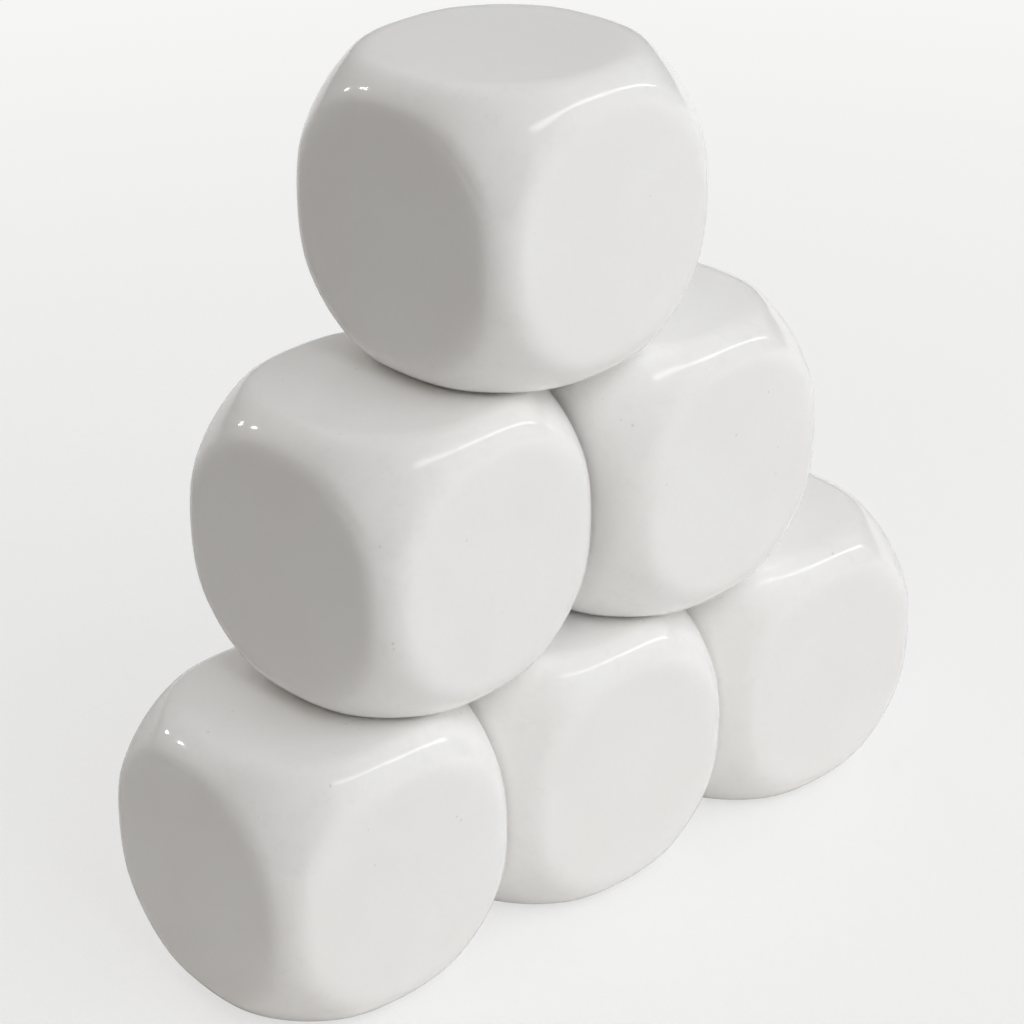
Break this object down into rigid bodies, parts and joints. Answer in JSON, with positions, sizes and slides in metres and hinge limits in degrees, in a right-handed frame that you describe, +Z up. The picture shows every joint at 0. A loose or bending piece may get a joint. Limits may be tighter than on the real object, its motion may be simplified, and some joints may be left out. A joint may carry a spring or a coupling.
{
  "type": "giant yard dice",
  "caption": "Set of giant yard dice: blank white cubes with large rolled edges and ball-cut corners, stacked in an upright triangular wall.",
  "frame": {"origin": "centre of the bottom centre die's base, on the ground", "axes": "+X along the row of dice, towards the bottom right die as seen from the front; +Y from the front to the back of the stack; +Z up"},
  "size_m": [0.2676, 0.0974, 0.2673],
  "materials": {
    "white_plastic": "polished opaque white moulding, very slightly translucent and warm, faint unevenness in its highlights"
  },
  "bodies": {
    "bottom_centre": {"bottom_centre_die": "white_plastic"},
    "bottom_left": {"bottom_left_die": "white_plastic"},
    "bottom_right": {"bottom_right_die": "white_plastic"},
    "middle_left": {"middle_left_die": "white_plastic"},
    "middle_right": {"middle_right_die": "white_plastic"},
    "top": {"top_die": "white_plastic"}
  },
  "joints": [
    {"name": "top_die_lift", "type": "slide", "parent": "bottom_centre", "child": "top", "axis": [0, 0, 1], "range_m": [0, 0.111]},
    {"name": "middle_left_die_slide", "type": "slide", "parent": "bottom_centre", "child": "middle_left", "axis": [-1, 0, 0], "range_m": [0, 0.135]},
    {"name": "middle_right_die_slide", "type": "slide", "parent": "bottom_centre", "child": "middle_right", "axis": [1, 0, 0], "range_m": [0, 0.145]},
    {"name": "bottom_left_die_slide", "type": "slide", "parent": "bottom_centre", "child": "bottom_left", "axis": [-1, 0, 0], "range_m": [0, 0.111]},
    {"name": "bottom_right_die_slide", "type": "slide", "parent": "bottom_centre", "child": "bottom_right", "axis": [1, 0, 0], "range_m": [0, 0.111]}
  ]
}
